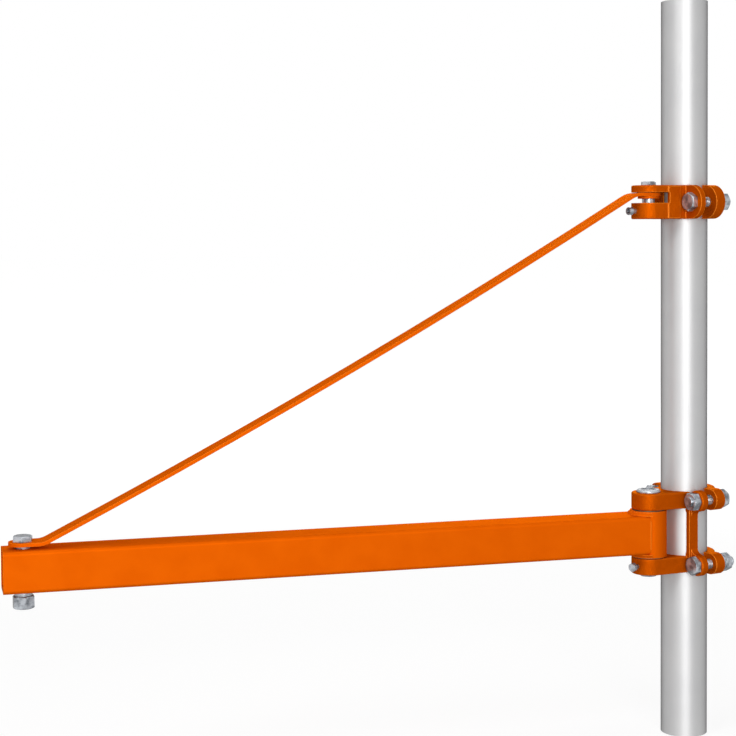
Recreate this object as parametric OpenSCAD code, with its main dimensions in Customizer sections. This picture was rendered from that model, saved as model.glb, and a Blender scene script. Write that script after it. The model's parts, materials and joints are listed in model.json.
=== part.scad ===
/* [Mast] */
// Outside diameter of the round mast tube
mast_d = 48.3; // [33.7:0.1:60.3]
// Wall of the mast tube
mast_wall = 3.2; // [2:0.1:5]
// Length of mast built, from its foot to its top
mast_h = 771; // [500:1:3000]

/* [Arm] */
// Height of the arm's centre line above the mast foot
arm_z = 217; // [120:1:1500]
// Outside width and height of the square arm tube
arm_size = 40; // [30:1:60]
// Wall of the arm tube
arm_wall = 3; // [2:0.5:5]
// Outside corner radius of the arm tube
arm_corner = 3.5; // [2:0.5:8]
// From the pivot axis to the arm's open end
arm_reach = 661; // [300:1:1200]
// From the arm's open end back to the tip bolt
tip_setback = 19.5; // [15:0.5:60]
// Outside diameter of the pivot barrel
barrel_d = 38; // [30:0.5:50]
// Height of the pivot barrel
barrel_h = 48; // [40:1:80]

/* [Brackets] */
// From the pivot axis to the mast axis
pivot_reach = 48.2; // [46:0.1:90]
// Turn of the brackets on the mast, away from the arm's line
bracket_turn = 15; // [-60:0.5:60]
// Radius of the round eyes at the end of both brackets
eye_r = 17.6; // [14:0.1:24]
// Thickness of each lower eye plate
eye_h = 17.5; // [10:0.5:24]
// Height of the upper bracket's centre above the arm's centre line
upper_rise = 344.5; // [200:0.5:900]
// Height of the upper bracket
upper_h = 35; // [28:0.5:50]
// Thickness of the upper bracket's top ear
top_ear_h = 7.3; // [5:0.1:12]
// Height of the slot that holds the tie
slot_h = 11; // [8:0.5:16]
// Sideways distance from the mast axis to each clamp bolt
bolt_side = 32; // [30:0.5:50]
// Radius of the lower bracket's round bolt lugs
lug_r = 11; // [9:0.5:16]

/* [Pins and bolts] */
// Diameter of the lower pivot pin
lower_pin_d = 16; // [12:0.5:20]
// Diameter of the lower pivot pin's head
lower_pin_head_d = 25; // [20:0.5:32]
// Diameter of the upper pivot pin
upper_pin_d = 10; // [8:0.5:16]
// Thread diameter of the clamp bolts
bolt_d = 10; // [8:1:12]
// Hexagon of the clamp bolts, across flats
bolt_af = 17; // [13:0.5:19]
// Thread diameter of the tip bolt
tip_bolt_d = 12; // [8:1:16]
// Hexagon of the tip bolt, across flats
tip_af = 17; // [13:0.5:24]

/* [Tie] */
// Width of the flat tie bar
tie_w = 25; // [16:0.5:32]
// Thickness of the flat tie bar
tie_t = 3.5; // [3:0.5:8]
// Radius of the slight bow along the tie bar
tie_bow_r = 7900; // [5000:100:50000]
// From the tip bolt to the tie bar's lower bend
tie_flat_low = 18.5; // [15:0.5:40]
// From the upper pivot pin to the tie bar's upper bend
tie_flat_up = 18.5; // [18:0.5:40]
// Inside radius of the two bends in the tie bar
tie_bend_r = 20; // [4:1:30]
// From the tip bolt to the tie bar's rounded end
tie_end = 13.6; // [12:0.5:30]

/* [Hidden] */
$fn = 96;
small_fn = 20;
step = 0.02;
bow_fn = 2880;
eps = 0.01;

// Named clearances
running = 0.05;
seat = 0.05;
bolt_play = 0.5;
axial_play = 0.1;

mast_r = mast_d / 2;
mast_bore_r = mast_r - mast_wall;
clamp_r = mast_r + seat;

pivot_x = -pivot_reach * cos(bracket_turn);
pivot_y = -pivot_reach * sin(bracket_turn);

// Heights of the lower eyes above the arm's centre line
thrust_t = 0.9;
eye_low = barrel_h / 2 + thrust_t + axial_play;
eye_top = eye_low + eye_h;
eye_mid = (eye_low + eye_top) / 2;

// Lower bracket, front casting
edge_r = 1.6;
lug_front = -11.5;
lug_back = -3;
web_side = 22;
strap_side = 23.2;
strap_w = 4.6;
strap_front = lug_front - 3;
strap_depth = 7;
lug_fillet = 6;
top_z = arm_z + eye_mid;
bottom_z = arm_z - eye_mid;

// Weld between the barrel and the arm
arm_cope = 6;
weld_leg = 3;
weld_turn = 12;

// Rear clamp straps
rear_front = 7.5;
rear_back = 19;
rear_wall = 8;
rear_h = 2 * lug_r;

// Upper bracket and its rear clamp, measured along the bracket
upper_z = arm_z + upper_rise;
upper_lug_front = -17;
upper_lug_back = -11;
upper_web_side = 22.7;
upper_rear_front = 3.5;
upper_rear_back = 15;
upper_round_side = bolt_side - 3;
slot_stop = 11.5;
slot_r = 24.5;
slot_side = 17;
ear_low_h = upper_h - top_ear_h - slot_h;
slot_z = upper_z - upper_h / 2 + ear_low_h;
pad_w = 14;
pad_lift = 1;
upper_screw_z = upper_z - upper_h / 2 + ear_low_h / 2;

// Bolts, nuts and washers
bolt_head_h = 6.4;
nut_h = 8.4;
washer_t = 2;
washer_r = 10;
spring_t = 2.2;
spring_r = 9;
thread_out = 5;
tip_head_h = 5.6;
tip_nut_h = 12.2;
tip_spring_t = 4.8;
tip_spacer_t = 2.8;
tip_spacer_r = 7.5;
tip_head_turn = 20;
tip_nut_turn = -26;
tip_nut_af = 19;
pin_head_h = 2.8;
pin_dish_r = 7.5;
pin_dish = 0.6;
upper_pin_af = 14;
upper_pin_head_h = 4;
pin_tail = 3;

// Set screws that hold the pivot pins
lower_screw_turn = 10;
upper_screw_turn = 0;
set_d = 5;
set_out = 4.5;
set_head_af = 8;
set_head_h = 4.5;

// Tie bar
tip_x = -arm_reach + tip_setback;
tie_low_z = arm_z + arm_size / 2 + tip_spacer_t;

tie_top_play = 0.4;
tie_up_z = slot_z + slot_h - tie_top_play - tie_t;
tie_gap = tie_up_z - axial_play - slot_z;
spacer_t = 2.5;
spacer_r = 11;
pin_washer_r = 6.6;

paint = [0.92, 0.40, 0.04];
zinc = [0.78, 0.78, 0.78];
steel = [0.62, 0.62, 0.62];

// Bracket frame: mast axis at the origin, pivot at -pivot_reach along X
module at_bracket(z = 0) rotate([0, 0, bracket_turn]) translate([0, 0, z]) children();

// Arm frame: pivot axis at the origin, arm along -X, arm centre line at z = 0
module at_pivot(z = arm_z) translate([pivot_x, pivot_y, z]) children();

// Lays a shape's Z axis along +X
module along_x() rotate([0, 90, 0]) children();

// Both sides of a bracket, left and right
module both_sides() for (s = [0, 1]) mirror([0, s, 0]) children();

module ring(r, bore, h) difference() {
  cylinder(r = r, h = h);
  translate([0, 0, -eps]) cylinder(r = bore, h = h + 2 * eps);
}

// Rectangle centred on the origin with rounded corners
module rounded_plate(w, h, r) {
  square([w, h - 2 * r], center = true);
  square([w - 2 * r, h], center = true);
  for (x = [-1, 1], y = [-1, 1])
    translate([x * (w / 2 - r), y * (h / 2 - r)]) circle(r = r, $fn = small_fn);
}

// Disc with rounded rims, standing on z = 0
module rounded_disc(r, h) rotate_extrude() {
  square([r - edge_r, h]);
  translate([0, edge_r]) square([r, h - 2 * edge_r]);
  for (z = [edge_r, h - edge_r]) translate([r - edge_r, z]) circle(r = edge_r, $fn = small_fn);
}

// Hexagon with a chamfered crown, standing on z = 0
module hex_body(af, h) intersection() {
  cylinder(r = af / sqrt(3), h = h, $fn = 6);
  rotate_extrude() polygon([[0, 0], [af / sqrt(3), 0], [af / sqrt(3), h - af * 0.055],
                            [af * 0.48, h], [0, h]]);
}

// Hexagon chamfered on both faces, with its bore
module hex_nut(af, h, bore) difference() {
  intersection() {
    hex_body(af, h);
    translate([0, 0, h]) mirror([0, 0, 1]) hex_body(af, h);
  }
  translate([0, 0, -eps]) cylinder(r = bore, h = h + 2 * eps);
}

// Spring washer: a ring cut through at a slant
module split_ring(r, bore, h) difference() {
  ring(r, bore, h);
  translate([0, 0, h / 2]) rotate([35, 0, 0]) translate([0, -0.6, -2 * h])
    cube([r + 1, 1.2, 4 * h]);
}

// ---- Mast ----
module mast_tube() color(steel) ring(mast_r, mast_bore_r, mast_h);

// ---- Walls that run from an eye to the lugs ----
// Turn of the wall from the bracket's axis: it leaves the eye as a tangent and
// ends at the web's edge
function wall_turn(run, side) = atan2(side, run) - asin(eye_r / norm([run, side]));
function wall_length(run, side) = sqrt(run * run + side * side - eye_r * eye_r);

// Moves to where the wall leaves the eye, with X along the wall and Y outwards
module on_wall(run, side) translate([-pivot_reach, 0, 0])
  rotate([0, 0, wall_turn(run, side)]) translate([0, eye_r - step, 0]) children();

// Eye with its two walls, rounded along its rims, standing on z = 0
module eye_block(run, side, back, h) {
  turn = wall_turn(run, side);
  inset = 2 * edge_r;
  translate([-pivot_reach, 0, 0]) rounded_disc(eye_r, h);
  translate([0, 0, step]) linear_extrude(h - 2 * step) {
    x0 = -pivot_reach - (eye_r - inset) * sin(turn);
    y0 = (eye_r - inset) * cos(turn);
    polygon([[x0, -y0], [run - pivot_reach, -side + inset], [back, -side + inset],
             [back, side - inset], [run - pivot_reach, side - inset], [x0, y0]]);
  }
  both_sides() on_wall(run, side) translate([0, -inset, h / 2]) rotate([90, 0, 90])
    linear_extrude(wall_length(run, side) + 3) rounded_plate(2 * inset, h - 2 * step, edge_r);
}

// ---- Lower bracket ----
lower_run = pivot_reach + lug_front + 1;

// Height of the centre of the fillet that runs from a strap's outer edge to a lug
function fillet_drop(edge) =
  sqrt(pow(lug_r + lug_fillet, 2) - pow(edge + lug_fillet - bolt_side, 2));

// Side view of the wing that joins two lugs: strap, lug discs and outer fillets
module wing_side() {
  outer = strap_side + strap_w / 2;
  drop = fillet_drop(outer);
  translate([strap_side - strap_w / 2, -eye_mid]) square([strap_w, 2 * eye_mid]);
  for (s = [0, 1]) mirror([0, s]) {
    translate([eye_r, eye_low + 2 * edge_r]) square([strap_side - eye_r, eye_h - 4 * edge_r]);
    translate([bolt_side, eye_mid]) circle(r = lug_r - edge_r);
    difference() {
      translate([outer - eps, eye_mid - drop])
        square([bolt_side - outer + lug_r / 2, drop - lug_r / 2]);
      translate([outer + lug_fillet, eye_mid - drop]) circle(r = lug_fillet);
      translate([outer + lug_fillet, eye_mid - drop - lug_fillet]) square([lug_r, drop]);
    }
  }
}

// Inner fillets between a strap and the two eye plates
module strap_fillets() for (s = [0, 1]) mirror([0, s]) difference() {
  translate([strap_side - strap_w / 2 - lug_fillet, eye_low - lug_fillet])
    square([lug_fillet + eps, lug_fillet + eps]);
  translate([strap_side - strap_w / 2 - lug_fillet, eye_low - lug_fillet])
    circle(r = lug_fillet);
}

module bolt_holes(from, z_list) for (y = [-bolt_side, bolt_side], z = z_list)
  translate([from, y, z]) along_x() cylinder(r = (bolt_d + bolt_play) / 2, h = 45);

module lower_bracket() color(paint) at_bracket(arm_z) difference() {
  union() {
    for (s = [0, 1]) mirror([0, 0, s]) translate([0, 0, eye_low])
      eye_block(lower_run, web_side, lug_back, eye_h);
    both_sides() {
      translate([lug_front, 0, 0]) rotate([90, 0, 90]) linear_extrude(lug_back - lug_front)
        wing_side();
      translate([strap_front, 0, 0]) rotate([90, 0, 90]) linear_extrude(strap_depth) {
        translate([strap_side - strap_w / 2, -eye_low - edge_r])
          square([strap_w, 2 * (eye_low + edge_r)]);
        strap_fillets();
      }
      for (s = [-1, 1]) translate([lug_front, bolt_side, s * eye_mid])
        along_x() rounded_disc(lug_r, lug_back - lug_front);
    }
  }
  translate([0, 0, -eye_top - lug_r]) cylinder(r = clamp_r, h = 2 * (eye_top + lug_r));
  translate([-pivot_reach, 0, -eye_top - eps])
    cylinder(r = lower_pin_d / 2 + seat, h = 2 * eye_top + 2 * eps);
  bolt_holes(lug_front - 5, [-eye_mid, eye_mid]);
  set_hole(-eye_mid, lower_screw_turn);
}

// Radial hole for a set screw, from the pin out through the eye
module set_hole(z, turn) translate([-pivot_reach, 0, z])
  rotate([0, 0, 180 + turn]) along_x() cylinder(r = set_d / 2 + seat, h = eye_r + 5);

// ---- Rear clamp straps ----
// Half shell round the mast, with rounded edges, on the side away from the pivot
module rear_shell(front, h) intersection() {
  rotate_extrude() translate([clamp_r + rear_wall / 2, 0]) rounded_plate(rear_wall, h, edge_r);
  translate([front, -2 * mast_r, -h]) cube([2 * mast_r, 4 * mast_r, 2 * h]);
}

// Lug that reaches sideways to a round end: round_r is the end's radius
module clamp_lug(front, back, round_side, round_r) translate([front, 0, 0]) along_x()
  linear_extrude(back - front) {
    translate([0, round_side]) circle(r = round_r);
    translate([-round_r, mast_r - 6]) square([2 * round_r, round_side - mast_r + 6]);
  }

module rear_clamp(z, front, back, round_side, h) color(paint) at_bracket(z) difference() {
  union() {
    rear_shell(front, h);
    both_sides() clamp_lug(front, back, round_side, h / 2 - eps);
  }
  translate([0, 0, -h]) cylinder(r = clamp_r, h = 2 * h);
  bolt_holes(front - 5, [0]);
  for (y = [-bolt_side, bolt_side]) translate([back, y, 0]) along_x()
    cylinder(r = washer_r + 1, h = 20);
}

module lower_clamp_top() rear_clamp(top_z, rear_front, rear_back, bolt_side, rear_h);
module lower_clamp_bottom() rear_clamp(bottom_z, rear_front, rear_back, bolt_side, rear_h);
module upper_clamp()
  rear_clamp(upper_z, upper_rear_front, upper_rear_back, upper_round_side, upper_h);

// ---- Upper bracket ----
upper_run = pivot_reach + upper_lug_front + 1;

module upper_bracket() color(paint) at_bracket(upper_z) difference() {
  union() {
    translate([0, 0, -upper_h / 2])
      eye_block(upper_run, upper_web_side, upper_lug_back, upper_h);
    both_sides() {
      clamp_lug(upper_lug_front, upper_lug_back, upper_round_side, upper_h / 2 - eps);
      on_wall(upper_run, upper_web_side) translate([slot_stop + 1.5, -1, -upper_h / 2 + 1])
        cube([pad_w, 1 + pad_lift, upper_h - 2]);
    }
  }
  translate([0, 0, -upper_h]) cylinder(r = clamp_r, h = 2 * upper_h);
  translate([-pivot_reach, 0, slot_z - upper_z]) {
    intersection() {
      cylinder(r = slot_r, h = slot_h);
      translate([0, -slot_side, 0]) cube([2 * slot_r, 2 * slot_side, slot_h]);
    }
    translate([-2 * eye_r, -2 * eye_r, 0]) cube([2 * eye_r + slot_stop, 4 * eye_r, slot_h]);
  }
  translate([-pivot_reach, 0, -upper_h]) cylinder(r = upper_pin_d / 2 + seat, h = 2 * upper_h);
  bolt_holes(upper_lug_front - 5, [0]);
  set_hole(upper_screw_z - upper_z, upper_screw_turn);
}

// ---- Pins and set screws ----
// Lower pin: plain shank, flat round head with a bevelled rim and a dished top
module lower_pivot_pin() color(zinc) at_pivot(arm_z) difference() {
  union() {
    translate([0, 0, -eye_top - pin_tail])
      cylinder(d = lower_pin_d, h = 2 * eye_top + pin_tail + eps);
    translate([0, 0, eye_top]) rotate_extrude()
      polygon([[0, 0], [lower_pin_head_d / 2, 0], [lower_pin_head_d / 2, pin_head_h / 2],
               [lower_pin_head_d / 2 - pin_head_h / 2, pin_head_h], [0, pin_head_h]]);
  }
  translate([0, 0, eye_top + pin_head_h - pin_dish]) cylinder(r = pin_dish_r, h = 2);
}

module upper_pivot_pin() color(zinc) at_pivot(upper_z) {
  translate([0, 0, -upper_h / 2 - step])
    cylinder(d = upper_pin_d, h = upper_h + step + eps);
  translate([0, 0, upper_h / 2]) rotate([0, 0, bracket_turn])
    hex_body(upper_pin_af, upper_pin_head_h);
}

// Screw that bears on a pivot pin through the end of an eye
module set_screw(z, turn, pin_d) color(zinc) at_pivot(z)
  rotate([0, 0, 180 + bracket_turn + turn]) along_x() {
    translate([0, 0, pin_d / 2]) cylinder(d = set_d, h = eye_r + set_out - pin_d / 2);
    translate([0, 0, eye_r + set_out - eps]) children();
  }

module lower_pin_screw() set_screw(bottom_z, lower_screw_turn, lower_pin_d)
  hex_body(set_head_af, set_head_h);
module upper_pin_screw() set_screw(upper_screw_z, upper_screw_turn, upper_pin_d)
  difference() {
    cylinder(d = set_head_af, h = set_head_h);
    translate([0, 0, set_head_h / 2]) cylinder(r = set_head_af * 0.28, h = set_head_h, $fn = 6);
  }

// ---- Clamp bolts, nuts and washers ----
// Goes to a bolt axis: side -1 left, +1 right; x is along the bracket;
// way +1 points the crown to the rear, -1 to the pivot
module on_bolt(side, z, x, way, turn = 0) at_bracket(z)
  translate([x, side * bolt_side, 0]) rotate([0, way * 90, 0]) rotate([0, 0, turn]) children();

// Bolt whose head bears on face_x and whose thread leaves the nut by tail
module clamp_bolt(side, z, face_x, far_x, way, stack, tail) color(zinc)
  on_bolt(side, z, face_x, way) {
    hex_body(bolt_af, bolt_head_h);
    mirror([0, 0, 1])
      cylinder(d = bolt_d, h = abs(far_x - face_x) + stack + nut_h + tail);
  }

module clamp_nut(side, z, far_x, way, turn = 0) color(zinc)
  on_bolt(side, z, far_x, way, turn) hex_nut(bolt_af, nut_h, bolt_d / 2 + seat);

module clamp_washer(side, z, far_x, way) color(zinc)
  on_bolt(side, z, far_x, way) ring(washer_r, bolt_d / 2 + seat, washer_t);

module clamp_spring(side, z, far_x, way) color(zinc)
  on_bolt(side, z, far_x + way * washer_t, way)
    split_ring(spring_r, bolt_d / 2 + seat, spring_t);

// Upper level and bottom level: head in front, washer, spring washer and nut behind
stack_h = washer_t + spring_t;
module upper_bolt(side)
  clamp_bolt(side, upper_z, upper_lug_front, upper_rear_back, -1, stack_h, 0);
module bottom_bolt(side)
  clamp_bolt(side, bottom_z, lug_front, rear_back, -1, stack_h, thread_out);
// Top level: head and washer behind, nut in front
module top_bolt(side)
  clamp_bolt(side, top_z, rear_back + washer_t, lug_front, 1, washer_t, 0);

module upper_bolt_left() upper_bolt(-1);
module upper_bolt_right() upper_bolt(1);
module top_bolt_left() top_bolt(-1);
module top_bolt_right() top_bolt(1);
module bottom_bolt_left() bottom_bolt(-1);
module bottom_bolt_right() bottom_bolt(1);
module upper_nut_left() clamp_nut(-1, upper_z, upper_rear_back + stack_h, 1, 30);
module upper_nut_right() clamp_nut(1, upper_z, upper_rear_back + stack_h, 1, 30);
module top_nut_left() clamp_nut(-1, top_z, lug_front, -1, 30);
module top_nut_right() clamp_nut(1, top_z, lug_front, -1, 30);
module bottom_nut_left() clamp_nut(-1, bottom_z, rear_back + stack_h, 1);
module bottom_nut_right() clamp_nut(1, bottom_z, rear_back + stack_h, 1);
module upper_washer_left() clamp_washer(-1, upper_z, upper_rear_back, 1);
module upper_washer_right() clamp_washer(1, upper_z, upper_rear_back, 1);
module top_washer_left() clamp_washer(-1, top_z, rear_back, 1);
module top_washer_right() clamp_washer(1, top_z, rear_back, 1);
module bottom_washer_left() clamp_washer(-1, bottom_z, rear_back, 1);
module bottom_washer_right() clamp_washer(1, bottom_z, rear_back, 1);
module upper_spring_left() clamp_spring(-1, upper_z, upper_rear_back, 1);
module upper_spring_right() clamp_spring(1, upper_z, upper_rear_back, 1);
module bottom_spring_left() clamp_spring(-1, bottom_z, rear_back, 1);
module bottom_spring_right() clamp_spring(1, bottom_z, rear_back, 1);

// ---- Arm ----
module arm_tube() color(paint) at_pivot() difference() {
  translate([-arm_reach, 0, 0]) rotate([90, 0, 90]) linear_extrude(arm_reach - arm_cope)
    difference() {
      rounded_plate(arm_size, arm_size, arm_corner);
      rounded_plate(arm_size - 2 * arm_wall, arm_size - 2 * arm_wall, arm_corner - arm_wall);
    }
  translate([0, 0, -arm_size]) cylinder(r = barrel_d / 2 + seat, h = 2 * arm_size);
  translate([tip_x, 0, -arm_size])
    cylinder(r = (tip_bolt_d + bolt_play) / 2, h = 2 * arm_size);
}

// Pivot barrel with the weld beads that join it to the top and bottom of the arm
module pivot_barrel() color(paint) at_pivot() difference() {
  union() {
    translate([0, 0, -barrel_h / 2]) cylinder(d = barrel_d, h = barrel_h);
    for (s = [0, 1]) mirror([0, 0, s]) rotate([0, 0, 90 + weld_turn])
      rotate_extrude(angle = 180 - 2 * weld_turn)
        translate([barrel_d / 2, arm_size / 2 + seat])
          polygon([[-1, 0], [weld_leg, 0], [weld_leg * 0.75, weld_leg * 0.5],
                   [weld_leg * 0.3, weld_leg * 0.9], [-1, weld_leg]]);
  }
  translate([0, 0, -barrel_h]) cylinder(r = lower_pin_d / 2 + running, h = 2 * barrel_h);
}

module thrust_washer(z) color(zinc) at_pivot(z)
  ring(barrel_d / 2 - 2, lower_pin_d / 2 + seat, thrust_t);
module thrust_washer_top() thrust_washer(arm_z + eye_low - thrust_t);
module thrust_washer_bottom() thrust_washer(arm_z - eye_low);

// ---- Tie ----
tie_rise = tie_up_z - tie_low_z;
tie_run = -tip_x - tie_flat_low - tie_flat_up;

// Points below are [x, z] on the bar's middle line, from the lower end's pin height.
// The bar bows a little: one long arc between two bends, each tangent to its flat end
bow_chord = [tie_run, tie_rise];
bow_mid = [tip_x + tie_flat_low, 0] + bow_chord / 2;
bow_side = [-tie_rise, tie_run] / norm(bow_chord);
bow_centre = bow_mid + bow_side * sqrt(pow(tie_bow_r, 2) - pow(norm(bow_chord) / 2, 2));
bend_r = tie_bend_r + tie_t / 2;

// Where a bend's centre lies, at height z, so that it touches the long arc
function bend_centre(z, reach) =
  [bow_centre[0] + sqrt(pow(reach, 2) - pow(bow_centre[1] - z, 2)) * bend_side, z];
bend_side = bow_centre[0] < bow_mid[0] ? 1 : -1;
low_centre = bend_centre(bend_r, tie_bow_r - bend_r);
up_centre = bend_centre(tie_rise - bend_r, tie_bow_r + bend_r);
low_way = low_centre - bow_centre;
up_way = up_centre - bow_centre;
low_angle = atan2(low_way[1], low_way[0]);
up_angle = atan2(up_way[1], up_way[0]);

// Length of flat bar bent round a centre, between two angles
module bent_bar(centre, r, from, to, w, t) translate([centre[0], 0, centre[1]])
  rotate([90, 0, 0]) rotate([0, 0, from]) rotate_extrude(angle = to - from)
    translate([r, 0]) square([t, w], center = true);

// The two bends are let into the bar by bend_lap degrees and lie step inside its faces
bend_lap = 1;
module tie_bend(centre, from, to)
  bent_bar(centre, bend_r, from - bend_lap, to + bend_lap, tie_w - 2 * step, tie_t - 2 * step);

// Flat end of the tie: round at the tip, straight towards the bend
module tie_end_plate(x, to_x) translate([0, 0, -tie_t / 2]) linear_extrude(tie_t) {
  translate([x, 0]) circle(d = tie_w);
  translate([min(x, to_x), -tie_w / 2]) square([abs(to_x - x), tie_w]);
}

module tie_bar() color(paint) at_pivot(tie_low_z + tie_t / 2) difference() {
  union() {
    tie_end_plate(tip_x - tie_end + tie_w / 2, low_centre[0]);
    tie_bend(low_centre, -90, low_angle);
    bent_bar(bow_centre, tie_bow_r, low_angle, up_angle, tie_w, tie_t, $fn = bow_fn);
    tie_bend(up_centre, 90, up_angle + 180);
    translate([0, 0, tie_rise]) tie_end_plate(0, up_centre[0]);
  }
  translate([tip_x, 0, -tie_t]) cylinder(r = (tip_bolt_d + bolt_play) / 2, h = 2 * tie_t);
  translate([0, 0, tie_rise - tie_t]) cylinder(r = upper_pin_d / 2 + running, h = 2 * tie_t);
}

module tie_washer() color(zinc) at_pivot(slot_z)
  ring(pin_washer_r, upper_pin_d / 2 + seat, tie_gap - spacer_t);
module tie_spacer() color(paint) at_pivot(slot_z + tie_gap - spacer_t)
  ring(spacer_r, upper_pin_d / 2 + seat, spacer_t);

// ---- Tip bolt ----
module at_tip(z) at_pivot(z) translate([tip_x, 0, 0]) children();

module tip_bolt() color(zinc) at_tip(tie_low_z + tie_t) {
  rotate([0, 0, tip_head_turn]) hex_body(tip_af, tip_head_h);
  grip = tie_t + tip_spacer_t + arm_size + tip_spring_t + tip_nut_h;
  translate([0, 0, -grip]) cylinder(d = tip_bolt_d, h = grip + eps);
}
module tip_spacer() color(zinc) at_tip(arm_z + arm_size / 2)
  ring(tip_spacer_r, tip_bolt_d / 2 + seat, tip_spacer_t);
module tip_spring_washer() color(zinc) at_tip(arm_z - arm_size / 2 - tip_spring_t)
  split_ring(tip_af / 2, tip_bolt_d / 2 + seat, tip_spring_t);
module tip_nut() color(zinc) at_tip(arm_z - arm_size / 2 - tip_spring_t)
  mirror([0, 0, 1]) rotate([0, 0, tip_nut_turn])
    hex_nut(tip_nut_af, tip_nut_h, tip_bolt_d / 2 + seat);

mast_tube();
lower_bracket();
lower_clamp_top();
lower_clamp_bottom();
upper_bracket();
upper_clamp();
lower_pivot_pin();
upper_pivot_pin();
lower_pin_screw();
upper_pin_screw();
upper_bolt_left();
upper_bolt_right();
top_bolt_left();
top_bolt_right();
bottom_bolt_left();
bottom_bolt_right();
upper_nut_left();
upper_nut_right();
top_nut_left();
top_nut_right();
bottom_nut_left();
bottom_nut_right();
upper_spring_left();
upper_spring_right();
bottom_spring_left();
bottom_spring_right();
upper_washer_left();
upper_washer_right();
top_washer_left();
top_washer_right();
bottom_washer_left();
bottom_washer_right();
arm_tube();
pivot_barrel();
thrust_washer_top();
thrust_washer_bottom();
tie_bar();
tie_spacer();
tie_washer();
tip_bolt();
tip_spacer();
tip_spring_washer();
tip_nut();
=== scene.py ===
import bpy, bmesh, math, json
from mathutils import Vector, Matrix


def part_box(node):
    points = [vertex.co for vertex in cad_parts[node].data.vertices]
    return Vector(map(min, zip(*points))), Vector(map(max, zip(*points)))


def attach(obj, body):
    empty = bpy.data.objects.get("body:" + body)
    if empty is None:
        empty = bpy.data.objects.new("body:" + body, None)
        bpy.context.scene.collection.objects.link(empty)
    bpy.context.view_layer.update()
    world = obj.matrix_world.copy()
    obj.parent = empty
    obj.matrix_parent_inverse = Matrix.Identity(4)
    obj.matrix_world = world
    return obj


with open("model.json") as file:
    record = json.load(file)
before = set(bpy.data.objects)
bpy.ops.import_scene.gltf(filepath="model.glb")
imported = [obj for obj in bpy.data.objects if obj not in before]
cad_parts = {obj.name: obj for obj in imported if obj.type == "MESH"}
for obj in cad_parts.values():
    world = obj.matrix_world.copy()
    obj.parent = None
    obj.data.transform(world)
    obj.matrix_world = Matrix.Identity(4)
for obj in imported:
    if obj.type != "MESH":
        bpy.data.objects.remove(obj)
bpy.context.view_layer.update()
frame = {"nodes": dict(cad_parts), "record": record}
nodes = frame["nodes"]
print("frame loaded:", len(nodes), "pieces")


camSet = {
    "place": (-0.78256, -1.61060, 0.53755),
    "turn": 15.193,      # degrees from +Y towards +X
    "tilt": 2.303,       # degrees down
    "roll": -0.378,      # degrees, keeps the mast upright in the picture
    "lens": 81.71,       # mm
    "sensor": 36,        # mm
    "shift": (0.0, -0.10),
    "clip": (0.05, 50),  # metres
}


def makeCamera(s):
    data = bpy.data.cameras.new("crane_camera")
    cam = bpy.data.objects.new("crane_camera", data)
    bpy.context.scene.collection.objects.link(cam)
    data.sensor_width = s["sensor"]
    data.lens = s["lens"]
    data.shift_x, data.shift_y = s["shift"]
    data.clip_start, data.clip_end = s["clip"]
    cam.location = s["place"]
    turn = Matrix.Rotation(-math.radians(s["turn"]), 3, "Z")
    tilt = Matrix.Rotation(math.radians(90 - s["tilt"]), 3, "X")
    roll = Matrix.Rotation(math.radians(s["roll"]), 3, "Z")
    cam.rotation_euler = (turn @ tilt @ roll).to_euler()
    bpy.context.scene.camera = cam


makeCamera(camSet)
print("camera placed")


# Small helpers that wire up the node materials below
def newMaterial(name):
    m = bpy.data.materials.new(name)
    m.use_nodes = True
    return m, m.node_tree, m.node_tree.nodes["Principled BSDF"]


def addNode(tree, kind, **values):
    n = tree.nodes.new(kind)
    for k, v in values.items():
        if k in n.inputs:
            n.inputs[k].default_value = v
        else:
            setattr(n, k, v)
    return n


def noiseTex(tree, where, scale, detail=4.0, rough=0.5):
    n = addNode(tree, "ShaderNodeTexNoise", Scale=scale, Detail=detail, Roughness=rough)
    tree.links.new(where, n.inputs["Vector"])
    return n.outputs["Fac"]


def stretched(tree, where, size):
    n = addNode(tree, "ShaderNodeMapping", Scale=size)
    tree.links.new(where, n.inputs["Vector"])
    return n.outputs["Vector"]


def ramp(tree, value, stops):
    n = tree.nodes.new("ShaderNodeValToRGB")
    n.color_ramp.elements[0].position, n.color_ramp.elements[0].color = stops[0][0], (*stops[0][1], 1)
    n.color_ramp.elements[1].position, n.color_ramp.elements[1].color = stops[-1][0], (*stops[-1][1], 1)
    for at, colour in stops[1:-1]:
        n.color_ramp.elements.new(at).color = (*colour, 1)
    tree.links.new(value, n.inputs["Fac"])
    return n.outputs["Color"]


def mathOf(tree, how, a, b):
    n = tree.nodes.new("ShaderNodeMath")
    n.operation = how
    for i, v in enumerate((a, b)):
        if isinstance(v, (int, float)):
            n.inputs[i].default_value = v
        else:
            tree.links.new(v, n.inputs[i])
    return n.outputs[0]


def between(tree, value, low, high):
    n = tree.nodes.new("ShaderNodeMapRange")
    n.inputs["To Min"].default_value, n.inputs["To Max"].default_value = low, high
    tree.links.new(value, n.inputs["Value"])
    return n.outputs["Result"]


def bumpOf(tree, height, depth, normal=None):    # depth in metres
    n = addNode(tree, "ShaderNodeBump", Distance=depth, Strength=1.0)
    tree.links.new(height, n.inputs["Height"])
    if normal is not None:
        tree.links.new(normal, n.inputs["Normal"])
    return n.outputs["Normal"]


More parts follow.
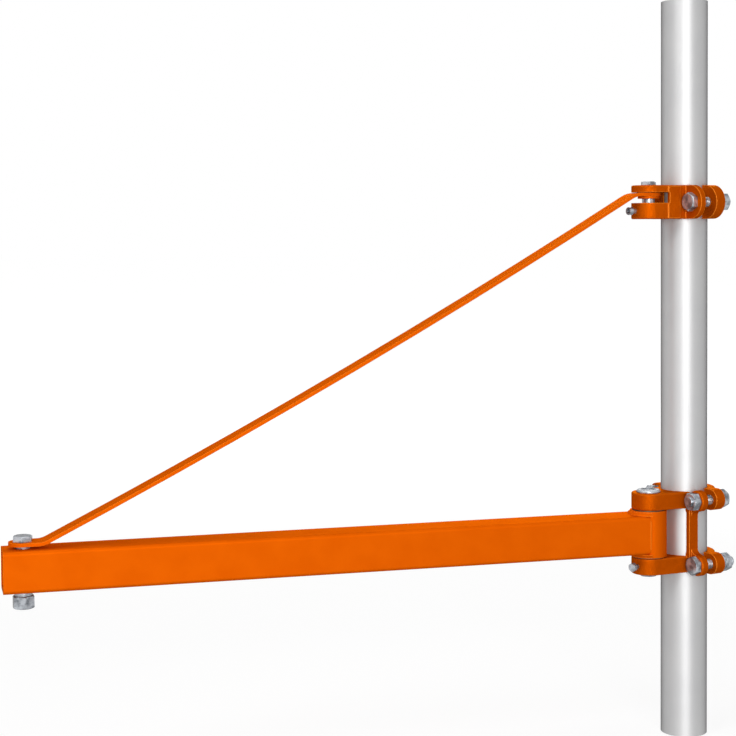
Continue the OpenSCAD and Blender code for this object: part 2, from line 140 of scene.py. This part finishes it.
# Noise scales are in waves a metre, depths and radii in metres
paintSet = {
    "colour": (0.80, 0.125, 0.001),
    "deep": (0.76, 0.113, 0.0005),    # where the coat lies thicker
    "patches": 35,                    # how fine the thicker patches are
    "edge": (1.0, 0.25, 0.02),        # painted highlight on the rounded edges
    "edgeRadius": 0.0008,
    "edgeFrom": (0.08, 0.5),          # turn of the surface where the painted edge highlight starts and is full
    "roughness": (0.50, 0.58),
    "smears": 90,                     # how fine the roughness varies
    "gloss": 0.25,                    # share of clear, paint-tinted reflection
    "glossTint": (1.0, 0.60, 0.10),
    "peel": 0.00006,                  # depth of the orange-peel waves
    "peelWaves": 420,
    "grain": 0.0,                     # depth of a casting's grain under the paint
    "grainWaves": 230,
}


def paintMaterial(name, s):
    m, t, b = newMaterial(name)
    where = t.nodes.new("ShaderNodeTexCoord").outputs["Object"]
    cloud = noiseTex(t, where, s["patches"], 5)
    colour = ramp(t, cloud, [(0.35, s["deep"]), (0.65, s["colour"])])
    bevel = addNode(t, "ShaderNodeBevel", samples=6, Radius=s["edgeRadius"])
    geo = t.nodes.new("ShaderNodeNewGeometry")
    turnOf = t.nodes.new("ShaderNodeVectorMath")
    turnOf.operation = "DISTANCE"
    t.links.new(bevel.outputs[0], turnOf.inputs[0])
    t.links.new(geo.outputs["True Normal"], turnOf.inputs[1])
    # Painted highlight: a lighter colour is mixed in on the rounded edges
    highlightStart, highlightFull = s["edgeFrom"]
    edge = ramp(t, turnOf.outputs["Value"], [(highlightStart, (0, 0, 0)), (highlightFull, (1, 1, 1))])
    mix = t.nodes.new("ShaderNodeMix")
    mix.data_type = "RGBA"
    t.links.new(edge, mix.inputs["Factor"])
    t.links.new(colour, mix.inputs["A"])
    mix.inputs["B"].default_value = (*s["edge"], 1)
    t.links.new(mix.outputs["Result"], b.inputs["Base Color"])
    t.links.new(between(t, noiseTex(t, where, s["smears"], 4), *s["roughness"]), b.inputs["Roughness"])
    b.inputs["Specular IOR Level"].default_value = 0.0
    b.inputs["Metallic"].default_value = s["gloss"]
    b.inputs["Specular Tint"].default_value = (*s["glossTint"], 1)
    waves = mathOf(t, "MULTIPLY", noiseTex(t, where, s["peelWaves"], 2), 0.5)
    normal = bumpOf(t, waves, s["peel"], bevel.outputs[0])
    if s["grain"]:
        lumps = noiseTex(t, where, s["grainWaves"], 8, 0.72)
        normal = bumpOf(t, lumps, s["grain"], normal)
    t.links.new(normal, b.inputs["Normal"])
    return m


tubePaint = paintMaterial("orange_gloss_paint", paintSet)

# The castings have the same paint settings in a darker colour, over a rougher ground
castSet = dict(paintSet)
castSet.update({
    "colour": (0.54, 0.084, 0.0005),
    "deep": (0.47, 0.070, 0.0003),
    # painted highlight on the castings' rounded edges
    "edge": (1.0, 0.27, 0.025),
    "edgeRadius": 0.0014,
    "roughness": (0.26, 0.42),
    "gloss": 0.3,
    "grain": 0.0007,
})
castPaint = paintMaterial("orange_paint_on_casting", castSet)


zincSet = {
    "colour": (0.54, 0.57, 0.61),
    "dull": (0.18, 0.195, 0.215),     # in the duller patches
    "patches": 120,
    "metal": 0.6,
    "edgeTint": (0.30, 0.30, 0.30),   # at a low angle
    "edgeRadius": 0.0004,
    "roughness": (0.13, 0.32),
    "smears": 300,
    "marks": 700,                     # fine marks along the plating
    "markDepth": 0.00004,
}


def zincMaterial(name, s):
    m, t, b = newMaterial(name)
    where = t.nodes.new("ShaderNodeTexCoord").outputs["Object"]
    patches = noiseTex(t, where, s["patches"], 6, 0.6)
    t.links.new(ramp(t, patches, [(0.4, s["dull"]), (0.6, s["colour"])]), b.inputs["Base Color"])
    b.inputs["Metallic"].default_value = s["metal"]
    b.inputs["Specular Tint"].default_value = (*s["edgeTint"], 1)
    t.links.new(between(t, noiseTex(t, where, s["smears"], 5), *s["roughness"]), b.inputs["Roughness"])
    bevel = addNode(t, "ShaderNodeBevel", samples=6, Radius=s["edgeRadius"])
    marks = noiseTex(t, stretched(t, where, (1, 1, 6)), s["marks"], 3)
    t.links.new(bumpOf(t, marks, s["markDepth"], bevel.outputs[0]), b.inputs["Normal"])
    return m


zinc = zincMaterial("bright_zinc", zincSet)

# The two thrust washers by the barrel are a dull bronze
washerSet = dict(zincSet)
washerSet.update({
    "colour": (0.20, 0.14, 0.08),
    "dull": (0.09, 0.06, 0.04),
    "roughness": (0.42, 0.6),
})
washerBronze = zincMaterial("dull_bronze", washerSet)


mastSet = {
    "colour": (0.60, 0.60, 0.60),
    "dull": (0.565, 0.565, 0.57),     # in the duller patches
    "patches": 25,
    "metal": 0.66,
    "edgeTint": (0.0, 0.0, 0.0),      # at a low angle
    "roughness": (0.50, 0.56),
    "lines": 900,                     # fine drawn lines along the tube
    "lineDepth": 0.00001,
    "grinding": 0.6,                  # how far fine marks round the tube draw out a highlight
    "grindingTurn": 0.25,
}


def mastMaterial(name, s):
    m, t, b = newMaterial(name)
    where = t.nodes.new("ShaderNodeTexCoord").outputs["Object"]
    lines = noiseTex(t, stretched(t, where, (1, 1, 0.03)), s["lines"], 3)
    cloud = noiseTex(t, where, s["patches"], 5)
    t.links.new(ramp(t, cloud, [(0.3, s["dull"]), (0.7, s["colour"])]), b.inputs["Base Color"])
    b.inputs["Metallic"].default_value = s["metal"]
    b.inputs["Specular IOR Level"].default_value = 0.0
    b.inputs["Specular Tint"].default_value = (*s["edgeTint"], 1)
    b.inputs["Anisotropic"].default_value = s["grinding"]
    b.inputs["Anisotropic Rotation"].default_value = s["grindingTurn"]
    around = addNode(t, "ShaderNodeTangent", direction_type="RADIAL", axis="Z")
    t.links.new(around.outputs["Tangent"], b.inputs["Tangent"])
    t.links.new(between(t, lines, *s["roughness"]), b.inputs["Roughness"])
    t.links.new(bumpOf(t, lines, s["lineDepth"]), b.inputs["Normal"])
    return m


mastSteel = mastMaterial("satin_steel_tube", mastSet)


slots = {
    "galvanised_tube": mastSteel,
    "painted_casting": castPaint,
    "painted_tube": tubePaint,
    "zinc_fasteners": zinc,
}
for sub in frame["record"]["subparts"]:
    piece = nodes[sub["node"]]
    piece.data.materials.clear()
    finish = washerBronze if "thrust" in sub["node"] else slots[sub["material_slot"]]
    piece.data.materials.append(finish)


# Rolled threads on the clamp bolts, each wound round its bolt from the free end
threadSet = {
    "pitch": 0.0015,
    "height": 0.00022,
    "sunk": 0.0001,      # how deep its foot lies in the shank
    "foot": 0.84,        # width at the foot, as a share of the pitch
    "crest": 0.2,        # width at the crest, as a share of the foot's
    "length": 0.040,
    "start": 0.0008,     # plain point before the first turn
    "steps": 24,         # flat pieces in one turn
    "slot": "zinc_fasteners",
}


def centreOf(name):
    low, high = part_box(name)
    return (Vector(low) + Vector(high)) / 2


# Where a bolt ends, the direction back along it, and its radius at that end
def shankOf(bolt, nut, washer):
    axis = (centreOf(nut) - centreOf(washer)).normalized()
    base = centreOf(nut)
    points = [nodes[bolt].matrix_world @ v.co - base for v in nodes[bolt].data.vertices]
    reach = max(p.dot(axis) for p in points)
    ends = [p for p in points if p.dot(axis) > reach - 0.001]
    radius = max((p - axis * p.dot(axis)).length for p in ends)
    return base + axis * reach, -axis, radius


def addThread(name, tip, along, radius, s):
    side = along.orthogonal().normalized()
    up = along.cross(side)
    turns = int((s["length"] - s["start"]) / s["pitch"])
    bm = bmesh.new()
    rows = []
    for i in range(turns * s["steps"] + 1):
        a = 2 * math.pi * i / s["steps"]
        out = side * math.cos(a) + up * math.sin(a)
        at = tip + along * (s["start"] + s["pitch"] * i / s["steps"])
        half = along * s["pitch"] * s["foot"] / 2
        foot, crest = at + out * (radius - s["sunk"]), at + out * (radius + s["height"])
        ring = (foot - half, crest - half * s["crest"], crest + half * s["crest"], foot + half)
        rows.append([bm.verts.new(p) for p in ring])
    for a, b in zip(rows, rows[1:]):
        for j in range(3):
            bm.faces.new((a[j], a[j + 1], b[j + 1], b[j]))
    bm.normal_update()
    addPiece(name, bm, s["slot"], "mast")


def addPiece(name, bm, slot, body):
    mesh = bpy.data.meshes.new(name)
    bm.to_mesh(mesh)
    bm.free()
    piece = bpy.data.objects.new(name, mesh)
    bpy.context.scene.collection.objects.link(piece)
    mesh.materials.append(slots[slot])
    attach(piece, body)


for level in ("upper", "top", "bottom"):
    for hand in ("left", "right"):
        names = [f"{level}_{kind}_{hand}" for kind in ("bolt", "nut", "washer")]
        tip, along, radius = shankOf(*names)
        addThread(f"{level}_thread_{hand}", tip, along, radius, threadSet)
print("bolt threads added")

# Weld seams down both sides of the arm where it meets the barrel
seamSet = {
    "radius": 0.0013,
    "ripple": 0.0002,    # height of the ripples along the bead
    "pitch": 0.0016,
    "steps": 10,
    "inset": 0.0035,     # kept clear of the arm's rounded corners
    "sunk": 0.0011,      # how far the middle of the bead lies inside the arm's side
    "slimmest": 0.3,     # width at its two ends, as a share
    "slot": "painted_tube",
}


def addSeam(name, foot, top, s):
    bm = bmesh.new()
    rows = []
    count = int((top.z - foot.z) / s["pitch"] * 4)    # four rings to a ripple
    for i in range(count + 1):
        share = i / count
        wave = s["ripple"] * math.sin(i * math.pi / 2)
        swell = min(1.0, 16 * share * (1 - share))
        r = (s["radius"] + wave) * max(s["slimmest"], swell)
        at = foot.lerp(top, share)
        rows.append([bm.verts.new(at + Vector((r * math.cos(a), r * math.sin(a), 0)))
                     for a in (2 * math.pi * j / s["steps"] for j in range(s["steps"]))])
    for a, b in zip(rows, rows[1:]):
        for j in range(s["steps"]):
            k = (j + 1) % s["steps"]
            bm.faces.new((a[j], a[k], b[k], b[j]))
    bm.faces.new(list(reversed(rows[0])))
    bm.faces.new(rows[-1])
    for f in bm.faces:
        f.smooth = True
    addPiece(name, bm, s["slot"], "jib")


armLow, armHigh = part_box("arm_tube")
pivot = centreOf("pivot_barrel")
for hand, side in (("left", -1), ("right", 1)):
    y = pivot.y + side * ((armHigh[1] - armLow[1]) / 2 - seamSet["sunk"])
    foot = Vector((armHigh[0], y, armLow[2] + seamSet["inset"]))
    top = Vector((armHigh[0], y, armHigh[2] - seamSet["inset"]))
    addSeam(f"weld_seam_{hand}", foot, top, seamSet)
print("weld seams added")


floorSet = {
    "span": 60,
    "height": -0.0005,
    "base": 0.2,             # grey that takes the shadow
    "white": (0.86, 0.99),   # how white it looks near the part and far off
    "fade": (1.0, 3.0),      # from where to where that changes, metres
}


def makeFloor(s):
    bpy.ops.mesh.primitive_plane_add(size=s["span"], location=(0, 0, s["height"]))
    floor = bpy.context.object
    floor.name = "studio_floor"
    m, t, b = newMaterial("studio_white")
    b.inputs["Base Color"].default_value = (s["base"], s["base"], s["base"], 1)
    b.inputs["Roughness"].default_value = 0.9
    b.inputs["Specular IOR Level"].default_value = 0.0
    b.inputs["Emission Color"].default_value = (1, 1, 1, 1)
    away = t.nodes.new("ShaderNodeVectorMath")
    away.operation = "LENGTH"
    t.links.new(t.nodes.new("ShaderNodeTexCoord").outputs["Object"], away.inputs[0])
    reach = addNode(t, "ShaderNodeMapRange")
    reach.inputs["From Min"].default_value, reach.inputs["From Max"].default_value = s["fade"]
    reach.inputs["To Min"].default_value, reach.inputs["To Max"].default_value = s["white"]
    t.links.new(away.outputs["Value"], reach.inputs["Value"])
    white = mathOf(t, "MULTIPLY", seenRays(t), reach.outputs["Result"])
    t.links.new(white, b.inputs["Emission Strength"])
    floor.data.materials.append(m)


# 1 for rays that see the studio, straight or in a reflection, and 0 for its light
def seenRays(t):
    path = t.nodes.new("ShaderNodeLightPath")
    a = mathOf(t, "MAXIMUM", path.outputs["Is Camera Ray"], path.outputs["Is Glossy Ray"])
    return mathOf(t, "MAXIMUM", a, path.outputs["Is Transmission Ray"])


skySet = {
    "light": 0.04,       # soft light from all round
    "seen": 1.0,         # how white it looks
}


def makeSky(s):
    w = bpy.data.worlds.new("studio_sky")
    bpy.context.scene.world = w
    w.use_nodes = True
    t = w.node_tree
    back = t.nodes["Background"]
    back.inputs["Color"].default_value = (1, 1, 1, 1)
    t.links.new(between(t, seenRays(t), s["light"], s["seen"]), back.inputs["Strength"])


lampSet = {              # place, looks at, width, height, watts
    "front_softbox": ((-0.8, -2.75, 0.65), (-0.05, 0, 0.3), 1.9, 1.4, 58),
    "left_softbox": ((-8.5, -5.0, 7.5), (-0.3, 0, 0.3), 4.0, 4.0, 330),
    "top_softbox": ((-0.35, 0.0, 3.0), (-0.35, 0, 0), 2.0, 1.2, 22),
    "back_softbox": ((1.1, 3.0, 1.7), (-0.2, 0, 0.35), 1.6, 1.4, 34),
}


def makeLamp(name, place, target, width, height, watts):
    data = bpy.data.lights.new(name, "AREA")
    data.shape, data.size, data.size_y, data.energy = "RECTANGLE", width, height, watts
    lamp = bpy.data.objects.new(name, data)
    bpy.context.scene.collection.objects.link(lamp)
    lamp.location = place
    lamp.visible_camera = False
    aim = Vector(target) - Vector(place)
    lamp.rotation_euler = aim.to_track_quat("-Z", "Y").to_euler()


makeFloor(floorSet)
makeSky(skySet)
for name, lamp in lampSet.items():
    makeLamp(name, *lamp)
bpy.context.scene.view_settings.view_transform = "Standard"
print("studio ready")
